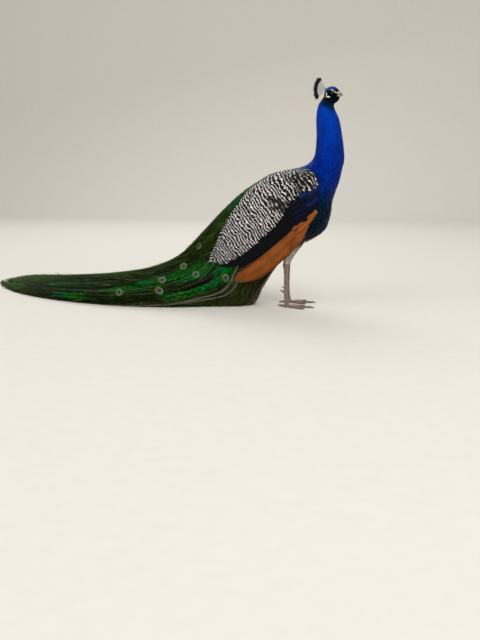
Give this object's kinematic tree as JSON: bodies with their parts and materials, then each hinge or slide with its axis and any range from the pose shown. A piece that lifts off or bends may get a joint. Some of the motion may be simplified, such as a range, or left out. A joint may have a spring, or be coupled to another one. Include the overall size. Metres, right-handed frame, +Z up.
{
  "type": "peacock",
  "caption": "Life-size Indian peacock standing erect, head turned to its right, wings folded, its long closed train of eyed feathers laid on the floor behind in a gentle curve.",
  "frame": {"origin": "centre of the bounding box in plan, on the floor that the feet and the train rest on", "axes": "+X the way the bird faces, +Y its left, +Z up"},
  "size_m": [1.4018, 0.6212, 0.7805],
  "materials": {
    "head_feathers": "short blue plumage with a satin sheen, black and white on the face",
    "neck_feathers": "brilliant blue plumage with a metallic sheen",
    "breast_feathers": "dark blue-green plumage with a metallic sheen",
    "back_feathers": "green scale-like plumage with a metallic sheen",
    "train_feathers": "loose green and bronze barbs with eye spots on pale shafts",
    "covert_feathers": "cream plumage with wavy black bars",
    "secondary_feathers": "black vanes with a blue gloss",
    "primary_feathers": "chestnut vanes",
    "tail_feathers": "dark brown vanes",
    "thigh_feathers": "short buff plumage",
    "crest_feathers": "bare pale shafts with dark blue tips",
    "leg_scales": "pinkish grey scales",
    "claw_horn": "dark horn",
    "bill_horn": "pinkish grey horn",
    "eye_gloss": "wet dark brown"
  },
  "bodies": {
    "root": {"head": "head_feathers", "neck": "neck_feathers", "trunk": "breast_feathers", "rump": "back_feathers", "thigh_right": "thigh_feathers", "thigh_left": "thigh_feathers", "bill_upper": "bill_horn", "bill_lower": "bill_horn", "eye_right": "eye_gloss", "eye_left": "eye_gloss", "crest": "crest_feathers", "wing_coverts_right": "covert_feathers", "wing_coverts_left": "covert_feathers", "wing_secondaries_right": "secondary_feathers", "wing_secondaries_left": "secondary_feathers", "wing_primaries_right": "primary_feathers", "wing_primaries_left": "primary_feathers", "tail": "tail_feathers", "train_root": "train_feathers", "train_middle": "train_feathers", "train_end": "train_feathers", "leg_right": "leg_scales", "leg_left": "leg_scales", "spur_right": "claw_horn", "spur_left": "claw_horn", "claw_inner_right": "claw_horn", "claw_inner_left": "claw_horn", "claw_middle_right": "claw_horn", "claw_middle_left": "claw_horn", "claw_outer_right": "claw_horn", "claw_outer_left": "claw_horn", "claw_back_right": "claw_horn", "claw_back_left": "claw_horn"}
  },
  "joints": []
}
